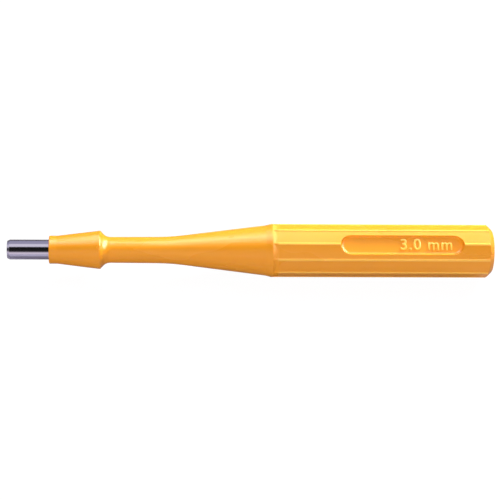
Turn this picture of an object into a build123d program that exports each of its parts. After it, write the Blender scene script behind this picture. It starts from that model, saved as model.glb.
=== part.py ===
from build123d import *

import os
from math import cos, radians, sin, tan

# A biopsy punch lying on its side. Millimetres: X runs along the tool from the cutting edge
# to the open rear end, Z is up, and the origin is under the middle of the tool.

# Blade: a seamless tube with a bevel ground on the outside of its tip
punch_bore = 3.0           # diameter of the sample that it cuts
blade_wall = 0.25
blade_reach = 7.3          # stands out of the nose
blade_hold = 6.0           # held in the nose
bevel_length = 0.45
edge_land = 0.04           # flat left at the cutting edge
glue_gap = 0.02            # round the blade in its seat

# Nose collar, a cone that widens backwards to a rim
nose_length = 8.9          # front face to rim
nose_land = 1.4            # straight stretch behind the front face
nose_wall = 0.69           # plastic round the blade at the front face
nose_flare = 0.92          # gain in radius from the front face to the rim
nose_back_angle = 48       # degrees, slope of the back of the rim
nose_face_round = 0.12
nose_land_round = 3.0
nose_rim_round = 0.25
nose_root_round = 1.6      # hollow round into the neck

# Neck, drawn slightly to let the core out
neck_length = 12.3         # rim to the start of the flare
neck_wall = 0.61
neck_draft = 0.065         # gain in radius along the neck
sample_clearance = 0.16    # the way behind the blade is this much wider, on radius

# Shank, flaring from the neck to the grip, and the shoulder that ends it
shank_length = 16.7
shank_round = 40.0         # long hollow curve between neck and flare
shoulder_length = 1.0
shoulder_height = 0.27     # rise from the flare to the crest
shoulder_round = 0.8       # hollow where it leaves the flare
crest_round = 0.9          # over its top edge
crest_land = 0.2           # length of that top, before its edge is rounded

# Grip: a barrel with ribs along it, slightly flattened between them
grip_diameter = 9.38       # over the shoulder's crest
grip_length = 39.0         # shoulder to rear end
grip_wall = 1.625          # where it is thinnest, midway between two ribs
bore_cone_length = 12.0    # narrows the way through from the grip's bore to the neck's
rib_count = 10
rib_width = 0.45           # each rib is a low rounded bead
rib_height = 0.1
rib_drop = 0.02            # the ribs lie this far under the shoulder's crest
rib_root_round = 0.08
panel_crown = 0.08         # bulge of each stretch between two ribs
panel_run_out = 0.8        # that stretch rises to the shoulder over this length
rear_chamfer = 1.0
rear_lip_round = 0.3       # between the chamfer and the rear face
bore_mouth_chamfer = 0.2

# Label panel, sunk into the grip with a flat floor and rounded ends
label_length = 21.2
label_width = 3.2
label_depth = 1.07         # below the shoulder's crest
label_from_rear = 5.65
label_draft = 15           # degrees, its walls lean outwards
label_floor_round = 0.6

over_cut = 0.6             # how far a cutting form reaches past the surface

# Radii
blade_radius = punch_bore / 2 + blade_wall
seat_radius = blade_radius + glue_gap
nose_face_radius = seat_radius + nose_wall
nose_rim_radius = nose_face_radius + nose_flare
neck_bore_radius = punch_bore / 2 + sample_clearance
neck_radius = neck_bore_radius + neck_wall
crest_radius = grip_diameter / 2
rib_round = (rib_width**2 / 4 + rib_height**2) / (2 * rib_height)
rib_crest_radius = crest_radius - rib_drop
barrel_radius = rib_crest_radius - rib_height
panel_radius = barrel_radius * cos(radians(180 / rib_count)) + panel_crown
grip_bore_radius = panel_radius - grip_wall
flare_radius = crest_radius - shoulder_height

# Places along the tool, measured from the cutting edge
nose_face = blade_reach
blade_end = nose_face + blade_hold
nose_rim = nose_face + nose_length
nose_root = nose_rim + (nose_rim_radius - neck_radius) / tan(radians(nose_back_angle))
neck_end = nose_rim + neck_length
flare_end = neck_end + shank_length
crest_start = flare_end + shoulder_length
crest_end = crest_start + crest_land
rear_end = crest_start + grip_length

# The tool lies on its shoulder's crest, so its axis is one crest radius up
tool_start = Vector(-rear_end / 2, 0, crest_radius)
tool_axis = Axis(tool_start, (1, 0, 0))
side_plane = Plane(origin=tool_start, x_dir=(1, 0, 0), z_dir=(0, -1, 0))
crest_plane = Plane(origin=tool_start + Vector(crest_start, 0, 0), x_dir=(0, 0, 1), z_dir=(1, 0, 0))

# At rest two ribs touch the table, one each side of straight down. The label is centred on a rib
# that leans from straight up towards -Y.
rib_pitch = 360 / rib_count
label_angle = radians(-rib_pitch / 2)
label_normal = Vector(0, sin(label_angle), cos(label_angle))
label_centre = rear_end - label_from_rear - label_length / 2
label_floor = tool_start + Vector(label_centre, 0, 0) + label_normal * (crest_radius - label_depth)
label_plane = Plane(origin=label_floor, x_dir=(1, 0, 0), z_dir=label_normal)


with BuildPart() as blade:
    with BuildSketch(side_plane):
        with BuildLine():
            Polyline(
                (0, punch_bore / 2),
                (0, punch_bore / 2 + edge_land),
                (bevel_length, blade_radius),
                (blade_end, blade_radius),
                (blade_end, punch_bore / 2),
                close=True,
            )
        make_face()
    revolve(axis=tool_axis)


# Form of the label panel: a slot with leaning walls and a round all along the floor's edge
with BuildPart() as label_form:
    with BuildSketch(label_plane):
        SlotOverall(label_length, label_width)
    extrude(amount=label_depth + over_cut, taper=-label_draft)
    floor_face = label_form.faces().sort_by(Axis(label_floor, label_normal))[0]
    fillet(floor_face.edges(), label_floor_round)


with BuildPart() as handle:
    # Nose collar, neck, shank and shoulder, down to the barrel behind it
    with BuildSketch(side_plane):
        with BuildLine():
            FilletPolyline(
                (nose_face, 0),
                (nose_face, nose_face_radius),
                (nose_face + nose_land, nose_face_radius),
                (nose_rim, nose_rim_radius),
                (nose_root, neck_radius),
                (neck_end, neck_radius + neck_draft),
                (flare_end, flare_radius),
                (crest_start, crest_radius),
                (crest_end, crest_radius),
                radius=[
                    nose_face_round,
                    nose_land_round,
                    nose_rim_round,
                    nose_root_round,
                    shank_round,
                    shoulder_round,
                    crest_round,
                ],
            )
            TangentArc(
                (crest_end + panel_run_out, panel_radius),
                (crest_end, crest_radius),
                tangent=(-1, 0),
            )
            Polyline(
                (crest_end + panel_run_out, panel_radius),
                (crest_end + panel_run_out, 0),
                (nose_face, 0),
            )
        make_face()
    revolve(axis=tool_axis)

    # Ribbed barrel: a slightly bulging arc from the foot of each rib to the next, and a bead on each
    rib_angles = [rib_pitch * (rib + 0.5) for rib in range(rib_count + 1)]
    rib_feet = [Vector(barrel_radius, 0).rotate(Axis.Z, rib_angle) for rib_angle in rib_angles]
    with BuildSketch(crest_plane) as barrel_section:
        with BuildLine():
            for foot, next_foot in zip(rib_feet, rib_feet[1:]):
                SagittaArc(foot, next_foot, -panel_crown)
        make_face()
        with PolarLocations(rib_crest_radius - rib_round, rib_count, start_angle=rib_pitch / 2):
            Circle(rib_round)
        rib_roots = barrel_section.vertices().group_by(SortBy.DISTANCE)[0]
        fillet(rib_roots, rib_root_round)
    extrude(amount=grip_length)

    # Rear edge, turned off at 45 degrees and rounded into the rear face
    with BuildSketch(side_plane):
        with BuildLine():
            rear_corner = FilletPolyline(
                (rear_end - rear_chamfer - over_cut, crest_radius + over_cut),
                (rear_end, crest_radius - rear_chamfer),
                (rear_end, crest_radius - rear_chamfer - over_cut),
                radius=rear_lip_round,
            )
            Polyline(
                rear_corner @ 1,
                (rear_end + over_cut, crest_radius - rear_chamfer - over_cut),
                (rear_end + over_cut, crest_radius + over_cut),
                rear_corner @ 0,
            )
        make_face()
    revolve(axis=tool_axis, mode=Mode.SUBTRACT)

    # Way through the handle: blade seat, neck bore, cone, and the wide bore of the grip
    with BuildSketch(side_plane):
        with BuildLine():
            Polyline(
                (nose_face, 0),
                (nose_face, seat_radius),
                (blade_end, seat_radius),
                (blade_end, neck_bore_radius),
                (neck_end, neck_bore_radius),
                (neck_end + bore_cone_length, grip_bore_radius),
                (rear_end - bore_mouth_chamfer, grip_bore_radius),
                (rear_end, grip_bore_radius + bore_mouth_chamfer),
                (rear_end, 0),
                close=True,
            )
        make_face()
    revolve(axis=tool_axis, mode=Mode.SUBTRACT)

    add(label_form.part, mode=Mode.SUBTRACT)


os.makedirs("parts", exist_ok=True)
blade.part.label = "blade"
export_step(blade.part, "parts/blade.step")
handle.part.label = "handle"
export_step(handle.part, "parts/handle.step")
print("overall length", round(rear_end, 2), "axis height", round(crest_radius, 2))
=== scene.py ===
import math

import bmesh
import bpy
from mathutils import Matrix, Vector


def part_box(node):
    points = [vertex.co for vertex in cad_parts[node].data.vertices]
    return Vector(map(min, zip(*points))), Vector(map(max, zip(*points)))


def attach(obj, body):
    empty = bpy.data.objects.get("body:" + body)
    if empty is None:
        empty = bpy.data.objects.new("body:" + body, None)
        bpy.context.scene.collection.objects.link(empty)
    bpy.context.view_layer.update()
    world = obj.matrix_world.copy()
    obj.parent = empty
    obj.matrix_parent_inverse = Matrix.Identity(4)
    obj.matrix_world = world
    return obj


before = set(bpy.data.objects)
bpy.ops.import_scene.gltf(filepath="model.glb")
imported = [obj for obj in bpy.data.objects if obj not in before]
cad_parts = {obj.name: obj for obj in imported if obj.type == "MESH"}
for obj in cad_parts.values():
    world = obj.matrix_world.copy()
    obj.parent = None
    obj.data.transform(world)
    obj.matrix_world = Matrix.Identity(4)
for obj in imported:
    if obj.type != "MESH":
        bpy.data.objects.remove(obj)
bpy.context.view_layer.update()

# A biopsy punch lying on a white table, seen from above and in front with its blade to the left.
# Metres: X runs along the tool from the cutting edge to the open rear end, and Z is up.
# Each lean is in degrees about the tool's axis from where the label panel faces, + towards the back.

mm = 0.001
white = (1, 1, 1)
labelLean = -18    # the label panel's own lean, from straight up

handleLow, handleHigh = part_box("handle")
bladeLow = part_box("blade")[0]
axisHeight = (handleLow.z + handleHigh.z) / 2
print("frame loaded:", ", ".join(sorted(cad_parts)))


def onAxis(along):
    return Vector((along, 0, axisHeight))


# The direction that leans so, and the one at right angles to it towards the back
def leanDirections(lean):
    turn = math.radians(labelLean + lean)
    return Vector((0, math.sin(turn), math.cos(turn))), Vector((0, math.cos(turn), -math.sin(turn)))


def turnedTo(sideways, upward, facing):
    return Matrix((sideways, upward, facing)).transposed().to_4x4()


def addObject(name, data):
    newObject = bpy.data.objects.new(name, data)
    bpy.context.scene.collection.objects.link(newObject)
    return newObject


def newMaterial(name):
    material = bpy.data.materials.new(name)
    material.use_nodes = True
    tree = material.node_tree
    tree.nodes.clear()
    return material, tree


def addNode(tree, kind, sockets=None, **settings):
    node = tree.nodes.new(kind)
    for key, value in settings.items():
        setattr(node, key, value)
    for socket, value in (sockets or {}).items():
        node.inputs[socket].default_value = value
    return node


def mapRange(tree, fromRange, toRange=(0, 1), **settings):
    sockets = dict(zip(("From Min", "From Max", "To Min", "To Max"), (*fromRange, *toRange)))
    return addNode(tree, "ShaderNodeMapRange", sockets, **settings)


def mixColors(tree, firstColor, secondColor):
    sockets = {"A": (*firstColor, 1), "B": (*secondColor, 1)}
    return addNode(tree, "ShaderNodeMix", sockets, data_type="RGBA")


def linkNodes(tree, links):
    for source, outlet, target, inlet in links:
        tree.links.new(source.outputs[outlet], target.inputs[inlet])


# Handle plastic: glossy and slightly cloudy, with orange peel, and a highlight painted on the ribs as
# a paler colour
plastic = {
    "color": (0.87, 0.34, 0.014),
    "deepColor": (0.845, 0.322, 0.0125),   # where the melt lies a little denser
    "ribHighlightColor": (0.97, 0.52, 0.075),       # painted highlight: a paler colour on the ribs for the bright lines the light makes along them
    "ribHighlightReach": (4.53 * mm, 4.64 * mm),    # from the tool's axis, the painted highlight fades in from here to there
    "ribHighlightStart": (4.4 * mm, 4.9 * mm),      # and along the tool as well, behind the shoulder
    "roughness": (0.24, 0.33),
    "mattBand": (4.25 * mm, 0.55 * mm),    # middle and half width of a duller band behind the shoulder
    "mattGain": 0.35,                      # added to the roughness in it
    "ior": 1.49,
    "scatter": 0.12,                       # share of the light that goes under the surface
    "scatterDepth": 0.7 * mm,
    "scatterSpread": (1.0, 0.45, 0.1),     # red goes furthest
    "cloudScale": 90,                      # per metre
    "cloudStretch": (0.35, 1, 1),          # drawn out along the tool
    "cloudDetail": 3.0,
    "cloudRoughness": 0.5,
    "cloudsInColor": (0.35, 0.6),          # range of the noise that is used
    "cloudsInGloss": (0.35, 0.65),
    "peelScale": 1600,                     # orange peel of the mould's polish
    "peelDetail": 2.0,
    "peelDepth": 0.003 * mm,
    "peelStrength": 0.5,
}

handlePlastic, tree = newMaterial("handlePlastic")
coords = addNode(tree, "ShaderNodeTexCoord")
stretch = addNode(tree, "ShaderNodeMapping", {"Scale": plastic["cloudStretch"]})
clouds = addNode(tree, "ShaderNodeTexNoise", {
    "Scale": plastic["cloudScale"],
    "Detail": plastic["cloudDetail"],
    "Roughness": plastic["cloudRoughness"],
})
spread = mapRange(tree, plastic["cloudsInColor"])
colorMix = mixColors(tree, plastic["deepColor"], plastic["color"])
gloss = mapRange(tree, plastic["cloudsInGloss"], plastic["roughness"])
peel = addNode(tree, "ShaderNodeTexNoise", {
    "Scale": plastic["peelScale"],
    "Detail": plastic["peelDetail"],
})
bump = addNode(tree, "ShaderNodeBump", {
    "Strength": plastic["peelStrength"],
    "Distance": plastic["peelDepth"],
})
shader = addNode(tree, "ShaderNodeBsdfPrincipled", {
    "IOR": plastic["ior"],
    "Subsurface Weight": plastic["scatter"],
    "Subsurface Scale": plastic["scatterDepth"],
    "Subsurface Radius": plastic["scatterSpread"],
})
output = addNode(tree, "ShaderNodeOutputMaterial")
linkNodes(tree, (
    (coords, "Object", stretch, "Vector"),
    (stretch, "Vector", clouds, "Vector"),
    (clouds, "Fac", spread, "Value"),
    (spread, "Result", colorMix, "Factor"),
    (clouds, "Fac", gloss, "Value"),
    (coords, "Object", peel, "Vector"),
    (peel, "Fac", bump, "Height"),
    (bump, "Normal", shader, "Normal"),
    (shader, "BSDF", output, "Surface"),
))

# The ribs get the painted highlight; they are told from the rest by their distance from the tool's
# axis
place = addNode(tree, "ShaderNodeSeparateXYZ")
aboveAxis = addNode(tree, "ShaderNodeMath", {1: axisHeight}, operation="SUBTRACT")
across = addNode(tree, "ShaderNodeCombineXYZ")
radius = addNode(tree, "ShaderNodeVectorMath", operation="LENGTH")
upTheRibHighlight = mapRange(tree, plastic["ribHighlightReach"], interpolation_type="SMOOTHSTEP")
highlightAlongGrip = mapRange(tree, plastic["ribHighlightStart"])
ribHighlightMask = addNode(tree, "ShaderNodeMath", operation="MULTIPLY")
ribHighlightMix = addNode(tree, "ShaderNodeMix", {"B": (*plastic["ribHighlightColor"], 1)}, data_type="RGBA")
bandMiddle, bandReach = plastic["mattBand"]
inBand = addNode(tree, "ShaderNodeMath", {1: bandMiddle, 2: bandReach}, operation="COMPARE")
bandGloss = addNode(tree, "ShaderNodeMath", {1: plastic["mattGain"]}, operation="MULTIPLY_ADD")
linkNodes(tree, (
    (coords, "Object", place, "Vector"),
    (place, "Z", aboveAxis, 0),
    (place, "Y", across, "Y"),
    (aboveAxis, "Value", across, "Z"),
    (across, "Vector", radius, 0),
    (radius, "Value", upTheRibHighlight, "Value"),
    (place, "X", highlightAlongGrip, "Value"),
    (upTheRibHighlight, "Result", ribHighlightMask, 0),
    (highlightAlongGrip, "Result", ribHighlightMask, 1),
    (ribHighlightMask, "Value", ribHighlightMix, "Factor"),
    (colorMix, "Result", ribHighlightMix, "A"),
    (ribHighlightMix, "Result", shader, "Base Color"),
    (place, "X", inBand, 0),
    (inBand, "Value", bandGloss, 0),
    (gloss, "Result", bandGloss, 2),
    (bandGloss, "Value", shader, "Roughness"),
))
print("handle plastic made")


# Blade steel: fine lines along the drawn tube, and round the ground bevel
steel = {
    "color": (0.66, 0.64, 0.70),
    "metallic": 1.0,
    "noiseRange": (0.3, 0.7),              # part of the noise that is used
    "drawnScale": 2600,                    # per metre
    "drawnStretch": (0.02, 1, 1),
    "drawnDetail": 4.0,
    "drawnNoiseRoughness": 0.6,
    "drawnRoughness": (0.10, 0.17),
    "groundScale": 9000,
    "groundStretch": (1, 0.03, 0.03),
    "groundDetail": 3.0,
    "groundRoughness": (0.22, 0.34),
    "bevelEnd": 0.45 * mm,                 # from the cutting edge
    "bevelBlend": 0.02 * mm,               # each side of that
    "lineDepth": 0.0008 * mm,
    "lineStrength": 0.35,
}

bladeSteel, tree = newMaterial("bladeSteel")
coords = addNode(tree, "ShaderNodeTexCoord")
drawnMap = addNode(tree, "ShaderNodeMapping", {"Scale": steel["drawnStretch"]})
drawn = addNode(tree, "ShaderNodeTexNoise", {
    "Scale": steel["drawnScale"],
    "Detail": steel["drawnDetail"],
    "Roughness": steel["drawnNoiseRoughness"],
})
drawnGloss = mapRange(tree, steel["noiseRange"], steel["drawnRoughness"])
groundMap = addNode(tree, "ShaderNodeMapping", {"Scale": steel["groundStretch"]})
ground = addNode(tree, "ShaderNodeTexNoise", {
    "Scale": steel["groundScale"],
    "Detail": steel["groundDetail"],
})
groundGloss = mapRange(tree, steel["noiseRange"], steel["groundRoughness"])
place = addNode(tree, "ShaderNodeSeparateXYZ")
bevelEdge = bladeLow.x + steel["bevelEnd"]
onBevel = mapRange(tree, (bevelEdge + steel["bevelBlend"], bevelEdge - steel["bevelBlend"]))
glossMix = addNode(tree, "ShaderNodeMix", data_type="FLOAT")
heightMix = addNode(tree, "ShaderNodeMix", data_type="FLOAT")
bump = addNode(tree, "ShaderNodeBump", {
    "Strength": steel["lineStrength"],
    "Distance": steel["lineDepth"],
})
shader = addNode(tree, "ShaderNodeBsdfPrincipled", {
    "Base Color": (*steel["color"], 1),
    "Metallic": steel["metallic"],
})
output = addNode(tree, "ShaderNodeOutputMaterial")
linkNodes(tree, (
    (coords, "Object", drawnMap, "Vector"),
    (drawnMap, "Vector", drawn, "Vector"),
    (drawn, "Fac", drawnGloss, "Value"),
    (coords, "Object", groundMap, "Vector"),
    (groundMap, "Vector", ground, "Vector"),
    (ground, "Fac", groundGloss, "Value"),
    (coords, "Object", place, "Vector"),
    (place, "X", onBevel, "Value"),
    (onBevel, "Result", glossMix, "Factor"),
    (drawnGloss, "Result", glossMix, "A"),
    (groundGloss, "Result", glossMix, "B"),
    (glossMix, "Result", shader, "Roughness"),
    (onBevel, "Result", heightMix, "Factor"),
    (drawn, "Fac", heightMix, "A"),
    (ground, "Fac", heightMix, "B"),
    (heightMix, "Result", bump, "Height"),
    (bump, "Normal", shader, "Normal"),
    (shader, "BSDF", output, "Surface"),
))

for name, material in (("handle", handlePlastic), ("blade", bladeSteel)):
    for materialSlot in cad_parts[name].material_slots:
        materialSlot.material = material
print("blade steel made")


# Size mark, raised print on the label panel's floor
sizeMark = {
    "text": "3.0 mm",
    "capHeight": 1.95 * mm,
    "capShare": 0.7,                       # of the font's size
    "rightEnd": 35.2 * mm,                 # along the tool
    "floorRadius": 3.62 * mm,              # panel floor to the tool's axis
    "upTheFloor": 0.20 * mm,               # the mark sits this far above the middle of the floor
    "raised": 0.26 * mm,
    "sunk": 0.05 * mm,
    "bevel": 0.13 * mm,
    "bevelSteps": 3,
    "curveSteps": 16,
    "weight": 0.07 * mm,                   # strokes are this much wider each side than the font's
    "spacing": 1.12,
    "weld": 0.001 * mm,
    "color": (0.98, 0.57, 0.085),          # painted highlight: a paler colour for the light the letters' rounded tops catch, about as pale as the ribs
}

curve = bpy.data.curves.new("sizeMarkText", "FONT")
curve.body = sizeMark["text"]
curve.size = sizeMark["capHeight"] / sizeMark["capShare"]
curve.space_character = sizeMark["spacing"]
curve.align_x = "RIGHT"
curve.offset = sizeMark["weight"] - sizeMark["bevel"]
curve.extrude = (sizeMark["raised"] + sizeMark["sunk"]) / 2 - sizeMark["bevel"]
curve.bevel_depth = sizeMark["bevel"]
curve.bevel_resolution = sizeMark["bevelSteps"]
curve.resolution_u = sizeMark["curveSteps"]
textObject = addObject("sizeMarkText", curve)
bpy.context.view_layer.update()
depsgraph = bpy.context.evaluated_depsgraph_get()
markMesh = bpy.data.meshes.new_from_object(textObject.evaluated_get(depsgraph))
bpy.data.objects.remove(textObject)

panelUp, textUp = leanDirections(0)
markHeight = sizeMark["floorRadius"] + (sizeMark["raised"] - sizeMark["sunk"]) / 2
spot = onAxis(sizeMark["rightEnd"]) + panelUp * markHeight
spot += textUp * (sizeMark["upTheFloor"] - sizeMark["capHeight"] / 2)
markMesh.transform(Matrix.Translation(spot) @ turnedTo(Vector((1, 0, 0)), textUp, panelUp))
work = bmesh.new()
work.from_mesh(markMesh)
bmesh.ops.remove_doubles(work, verts=work.verts, dist=sizeMark["weld"])
bmesh.ops.recalc_face_normals(work, faces=work.faces)
work.to_mesh(markMesh)
work.free()
for polygon in markMesh.polygons:
    polygon.use_smooth = True
markMesh.name = "sizeMark"

# The same plastic in one paler colour, a painted highlight for the light on the letters' rounded tops
markHighlightPlastic = handlePlastic.copy()
markHighlightPlastic.name = "markHighlightPlastic"
markTree = markHighlightPlastic.node_tree
for node in markTree.nodes:
    if node.bl_idname == "ShaderNodeBsdfPrincipled":
        baseColor = node.inputs["Base Color"]
        markTree.links.remove(baseColor.links[0])
        baseColor.default_value = (*sizeMark["color"], 1)
markMesh.materials.clear()
markMesh.materials.append(markHighlightPlastic)

markPiece = addObject("sizeMark", markMesh)
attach(markPiece, "root")
print("size mark made:", len(markMesh.polygons), "faces")


# Table: the camera sees white paper with a faint shadow, and the tool sees a darker top
table = {
    "size": 4.0,
    "frontColor": (0.39, 0.38, 0.53),      # as the tool sees it, in front of itself
    "backColor": (0.10, 0.09, 0.105),      # and behind
    "turnOver": 20 * mm,                   # the change runs this far each side of the tool's axis
    "paperLevel": 0.96,                    # what the camera sees where no light falls
    "shadeColor": (0.062, 0.061, 0.068),   # added to the paper by the lamps, so a shadow shows faintly
}

tablePaper, tree = newMaterial("tableTop")
coords = addNode(tree, "ShaderNodeTexCoord")
place = addNode(tree, "ShaderNodeSeparateXYZ")
behind = mapRange(tree, (-table["turnOver"], table["turnOver"]))
toneMix = mixColors(tree, table["frontColor"], table["backColor"])
matte = addNode(tree, "ShaderNodeBsdfDiffuse")
faint = addNode(tree, "ShaderNodeBsdfDiffuse", {"Color": (*table["shadeColor"], 1)})
paper = addNode(tree, "ShaderNodeEmission", {
    "Color": (*white, 1),
    "Strength": table["paperLevel"],
})
seen = addNode(tree, "ShaderNodeAddShader")
path = addNode(tree, "ShaderNodeLightPath")
choose = addNode(tree, "ShaderNodeMixShader")
output = addNode(tree, "ShaderNodeOutputMaterial")
linkNodes(tree, (
    (coords, "Object", place, "Vector"),
    (place, "Y", behind, "Value"),
    (behind, "Result", toneMix, "Factor"),
    (toneMix, "Result", matte, "Color"),
    (faint, "BSDF", seen, 0),
    (paper, "Emission", seen, 1),
    (path, "Is Camera Ray", choose, "Fac"),
    (matte, "BSDF", choose, 1),
    (seen, "Shader", choose, 2),
    (choose, "Shader", output, "Surface"),
))

tableMesh = bpy.data.meshes.new("tableTop")
work = bmesh.new()
bmesh.ops.create_grid(work, x_segments=1, y_segments=1, size=table["size"] / 2)
work.to_mesh(tableMesh)
work.free()
tableMesh.materials.append(tablePaper)
tableTop = addObject("tableTop", tableMesh)
print("table made")


# Surroundings: a white backdrop for the camera, and bands round the axis for the tool to mirror
surroundings = {
    "stops": [                             # lean and colour
        (-77, (0.78, 0.73, 0.86)),
        (-54, (0.85, 0.76, 0.86)),
        (-37, (0.02, 0.02, 0.02)),
        (12, (0.005, 0.005, 0.005)),
        (20, (0.85, 0.82, 0.94)),
        (46, (0.85, 0.82, 0.94)),
        (60, (0.46, 0.44, 0.58)),
        (103, (0.36, 0.36, 0.50)),
    ],
    "ambient": (0.12, 0.12, 0.13),         # what lights the matt surfaces from all round
}

world = bpy.data.worlds.new("studio")
bpy.context.scene.world = world
world.use_nodes = True
tree = world.node_tree
tree.nodes.clear()
coords = addNode(tree, "ShaderNodeTexCoord")
split = addNode(tree, "ShaderNodeSeparateXYZ")
rayLean = addNode(tree, "ShaderNodeMath", operation="ARCTAN2")
rampPlace = mapRange(tree, (-math.pi, math.pi))
ramp = addNode(tree, "ShaderNodeValToRGB")
stops = surroundings["stops"]
elements = ramp.color_ramp.elements
while len(elements) < len(stops):
    elements.new(0.5)
for element, (lean, color) in zip(elements, stops):
    element.position = (labelLean + lean + 180) / 360
    element.color = (*color, 1)
mirrored = addNode(tree, "ShaderNodeBackground")
ambient = addNode(tree, "ShaderNodeBackground", {"Color": (*surroundings["ambient"], 1)})
backdrop = addNode(tree, "ShaderNodeBackground", {"Color": (*white, 1)})
path = addNode(tree, "ShaderNodeLightPath")
glossyChoice = addNode(tree, "ShaderNodeMixShader")
cameraChoice = addNode(tree, "ShaderNodeMixShader")
output = addNode(tree, "ShaderNodeOutputWorld")
linkNodes(tree, (
    (coords, "Generated", split, "Vector"),
    (split, "Y", rayLean, 0),
    (split, "Z", rayLean, 1),
    (rayLean, "Value", rampPlace, "Value"),
    (rampPlace, "Result", ramp, "Fac"),
    (ramp, "Color", mirrored, "Color"),
    (path, "Is Glossy Ray", glossyChoice, "Fac"),
    (ambient, "Background", glossyChoice, 1),
    (mirrored, "Background", glossyChoice, 2),
    (path, "Is Camera Ray", cameraChoice, "Fac"),
    (glossyChoice, "Shader", cameraChoice, 1),
    (backdrop, "Background", cameraChoice, 2),
    (cameraChoice, "Shader", output, "Surface"),
))
print("surroundings made")


# Lamps: some are mirrored and give no other light, and the rest only light. along and aim are places
# along the tool, and radiance 1 is white.
lamps = {
    "noseSoftbox": {
        "lean": 46, "distance": 0.30, "along": -0.125, "aim": -0.125, "size": (0.04, 0.16),
        "radiance": 9.0, "color": white, "mirrored": True,
    },
    "flareSoftbox": {
        "lean": 68, "distance": 0.30, "along": -0.083, "aim": -0.083, "size": (0.04, 0.16),
        "radiance": 8.0, "color": white, "mirrored": True,
    },
    "neckSoftbox": {
        "lean": 50, "distance": 0.30, "along": -0.035, "aim": -0.035, "size": (0.07, 0.18),
        "radiance": 7.5, "color": white, "mirrored": True,
    },
    "gripSoftbox": {
        "lean": 68, "distance": 0.30, "along": 0.15, "aim": 0.15, "size": (0.27, 0.10),
        "radiance": 2.4, "color": white, "mirrored": True,
    },
    "topFill": {
        "lean": 47, "distance": 0.60, "along": 0.0, "aim": 0.0, "size": (0.60, 0.40),
        "radiance": 2.0, "color": white, "mirrored": False,
    },
    "backLight": {
        "lean": 76, "distance": 0.28, "along": 0.19, "aim": 0.02, "size": (0.16, 0.10),
        "radiance": 52.0, "color": (1, 1, 0.85), "mirrored": False,
    },
    "frontFill": {
        "lean": -32, "distance": 0.60, "along": -0.10, "aim": 0.0, "size": (0.60, 0.40),
        "radiance": 3.95, "color": (1, 0.93, 0.85), "mirrored": False,
    },
    "rearWindow": {
        "lean": 52, "distance": 0.25, "along": 0.27, "aim": -0.025, "size": (0.32, 0.32),
        "radiance": 16.0, "color": (1, 1, 0.97), "mirrored": True,
    },
}

# The mirrored ones stand where only the plastic sees them
plasticOnly = bpy.data.collections.new("mirrorsSoftboxes")
for piece in (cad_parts["handle"], markPiece):
    plasticOnly.objects.link(piece)

for name, lamp in lamps.items():
    light = bpy.data.lights.new(name, "AREA")
    light.shape = "RECTANGLE"
    light.size, light.size_y = lamp["size"]
    light.energy = lamp["radiance"] * math.pi * light.size * light.size_y
    light.color = lamp["color"]
    outward = leanDirections(lamp["lean"])[0]
    spot = onAxis(lamp["along"]) + lamp["distance"] * outward
    facing = (spot - onAxis(lamp["aim"])).normalized()
    upward = facing.cross(Vector((1, 0, 0))).normalized()
    sideways = upward.cross(facing)
    lampObject = addObject(name, light)
    lampObject.matrix_world = Matrix.Translation(spot) @ turnedTo(sideways, upward, facing)
    lampObject.visible_glossy = lamp["mirrored"]
    lampObject.visible_diffuse = not lamp["mirrored"]
    lampObject.visible_camera = False
    if lamp["mirrored"]:
        lampObject.light_linking.receiver_collection = plasticOnly
print("lamps set:", len(lamps))


# Camera: above and in front, and slightly towards the blade's end
view = {
    "lean": -15,
    "distance": 300.0 * mm,
    "toTheLeft": 13.0 * mm,                # stands this far to the blade's side
    "target": (-0.124 * mm, 0.07 * mm),    # along the tool, and up the picture from its axis
    "roll": 0.22,                          # degrees, blade end higher
    "lens": 122.8,
    "sensorWidth": 36,
    "clip": (0.01, 20),
}

outward, cameraUp = leanDirections(view["lean"])
targetAlong, targetUp = view["target"]
target = onAxis(targetAlong) + cameraUp * targetUp
spot = target + outward * view["distance"] - Vector((view["toTheLeft"], 0, 0))
backward = (spot - target).normalized()
right = cameraUp.cross(backward).normalized()
up = backward.cross(right)
cameraData = bpy.data.cameras.new("camera")
cameraData.lens = view["lens"]
cameraData.sensor_width = view["sensorWidth"]
cameraData.clip_start, cameraData.clip_end = view["clip"]
camera = addObject("camera", cameraData)
camera.matrix_world = (
    Matrix.Translation(spot)
    @ turnedTo(right, up, backward)
    @ Matrix.Rotation(math.radians(view["roll"]), 4, "Z")
)
bpy.context.scene.camera = camera
bpy.context.scene.view_settings.view_transform = "Standard"
print("camera set")
